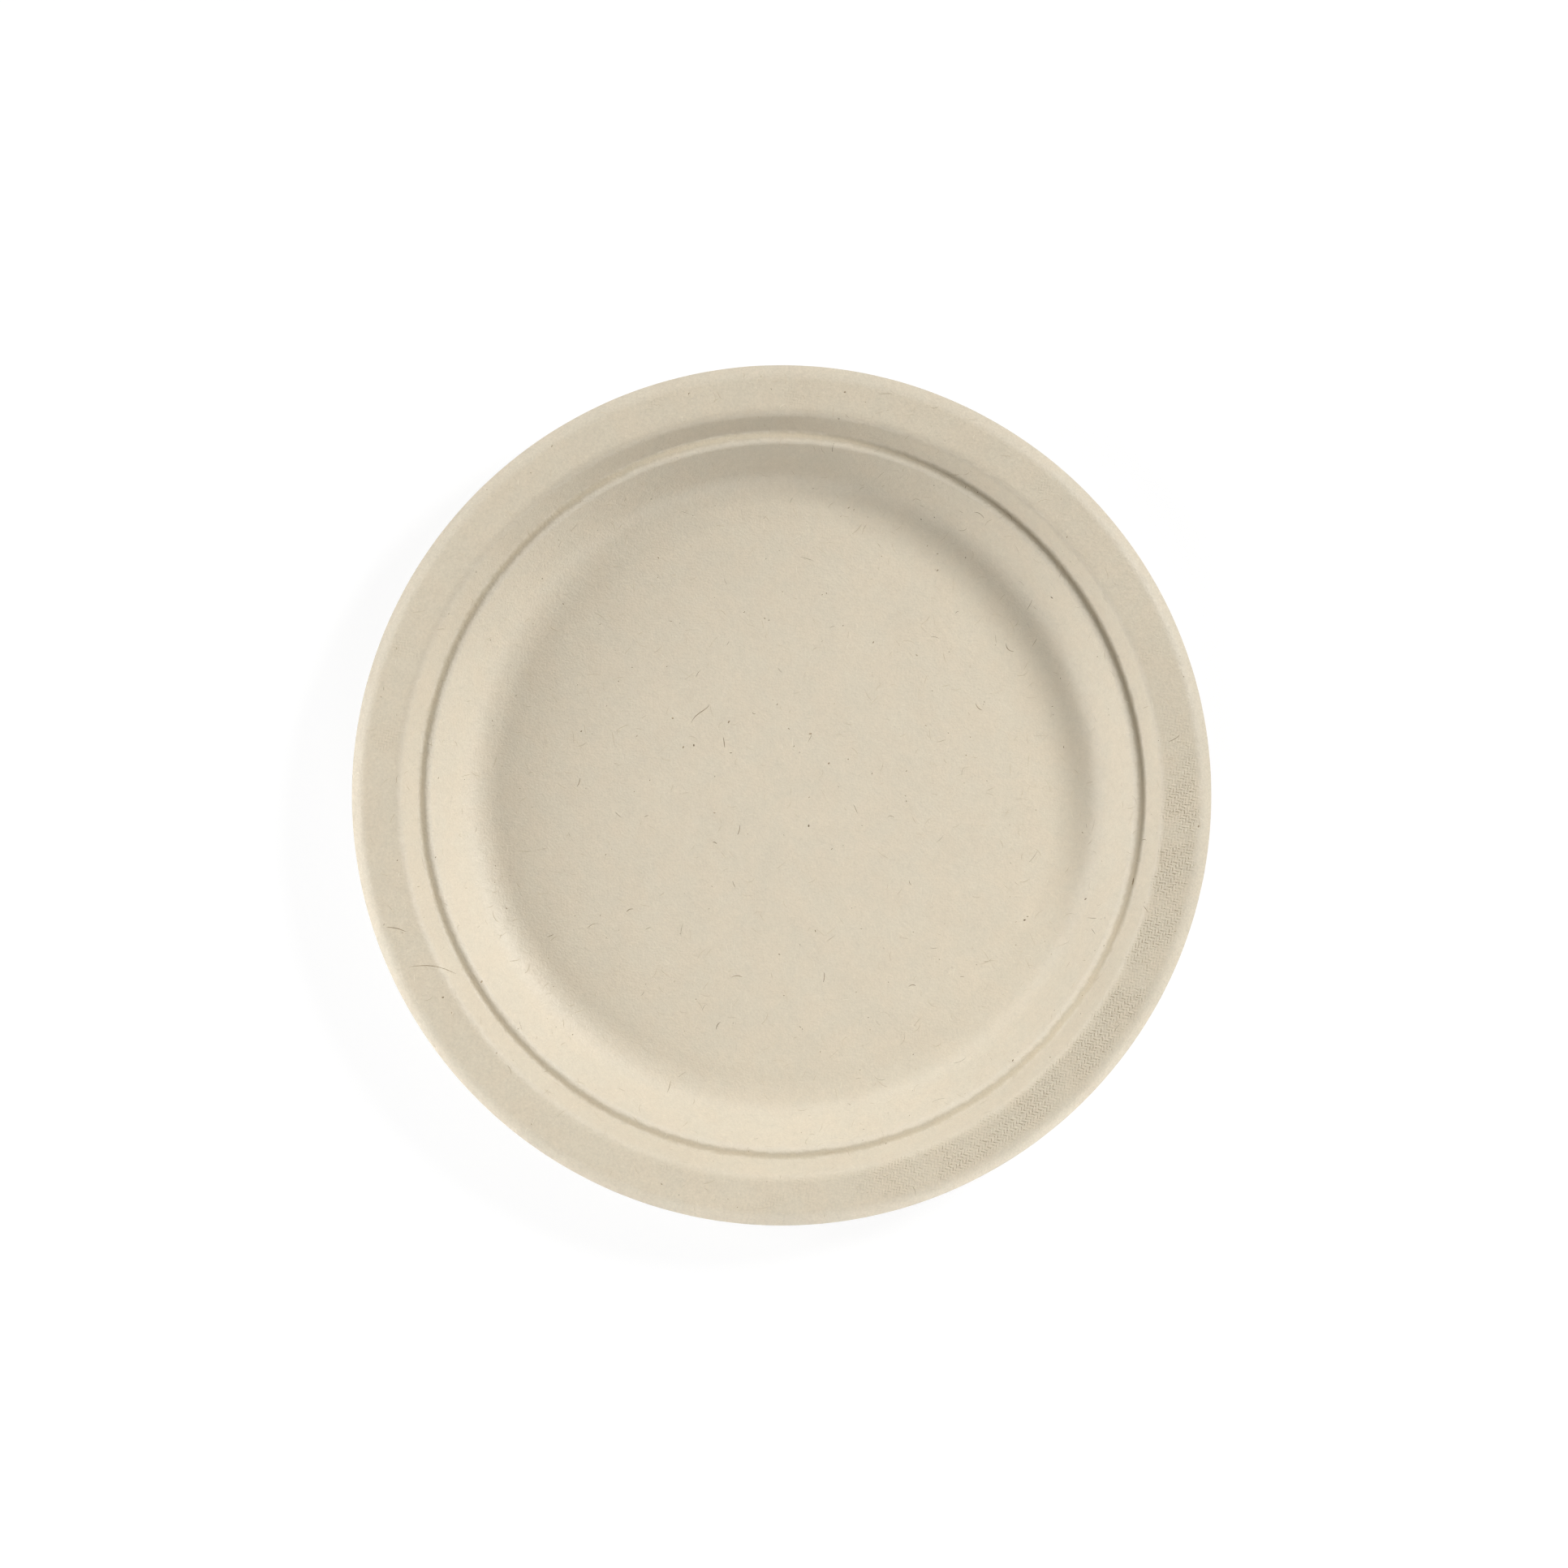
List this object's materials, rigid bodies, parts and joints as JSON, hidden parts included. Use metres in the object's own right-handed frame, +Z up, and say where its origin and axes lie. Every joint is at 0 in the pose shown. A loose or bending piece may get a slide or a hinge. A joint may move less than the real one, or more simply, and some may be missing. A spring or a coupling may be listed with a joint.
{
  "type": "paper plate",
  "caption": "Round disposable plate pressed from a single sheet of moulded pulp, with a flat floor, swept wall, narrow ledge, flat rim and turned-down lip.",
  "frame": {"origin": "middle of the flat face that the plate stands on", "axes": "+Z up along the plate's axis of symmetry, +X and +Y in the plane of the table"},
  "size_m": [0.228, 0.228, 0.021],
  "materials": {
    "pulp": "matte, unbleached plant fibre"
  },
  "bodies": {
    "root": {"plate": "pulp"}
  },
  "joints": []
}
